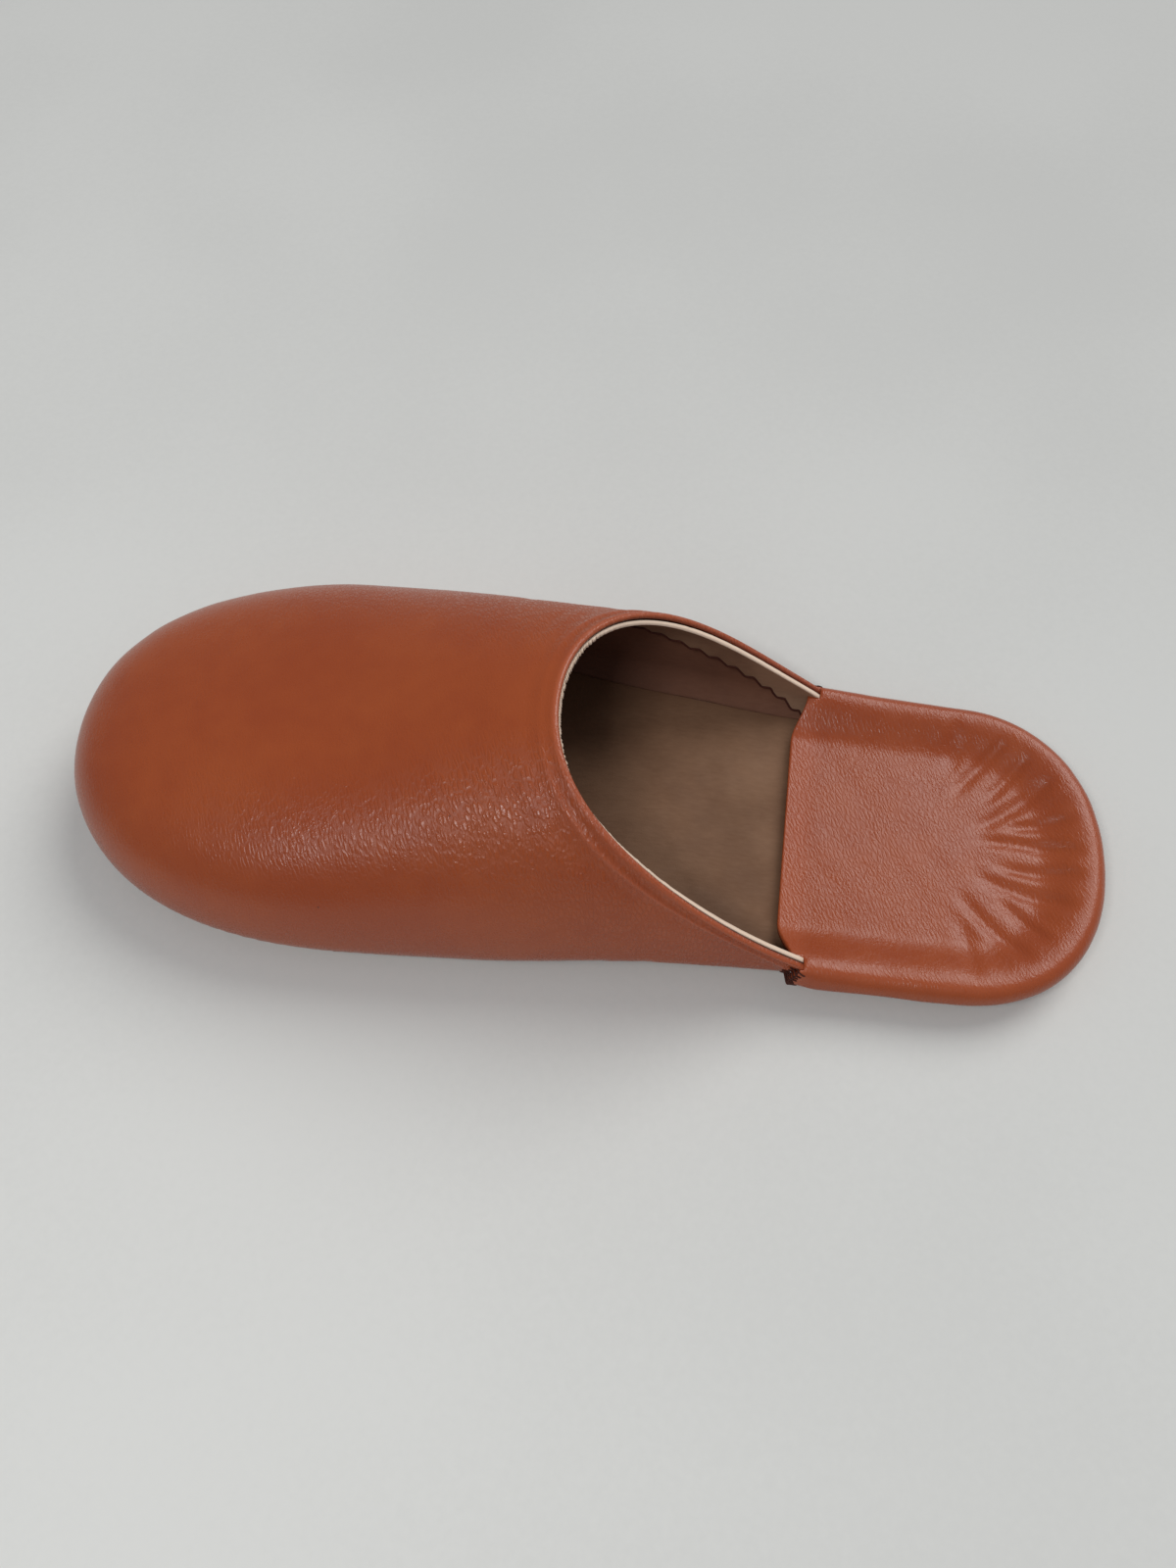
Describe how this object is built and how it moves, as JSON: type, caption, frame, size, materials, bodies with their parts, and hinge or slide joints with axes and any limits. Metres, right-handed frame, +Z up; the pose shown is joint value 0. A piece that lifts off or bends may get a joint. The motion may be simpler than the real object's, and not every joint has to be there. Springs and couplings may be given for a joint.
{
  "type": "babouche slipper",
  "caption": "Soft leather babouche slipper with a plain closed toe, a round open throat, flat sole and a back folded down inside the heel.",
  "frame": {"origin": "on the floor under the middle of the slipper's length and width", "axes": "+X towards the toe, +Y towards the slipper's left side, +Z up"},
  "size_m": [0.248, 0.096, 0.0532],
  "materials": {
    "sole_leather": "matt natural sole leather",
    "insole_leather": "matt undyed sheep leather",
    "upper_leather": "smooth satin terracotta leather with a fine grain",
    "quarter_leather": "smooth satin terracotta leather, folded"
  },
  "bodies": {
    "root": {"outsole": "sole_leather", "insole": "insole_leather", "upper": "upper_leather", "heel_quarter": "quarter_leather"}
  },
  "joints": []
}
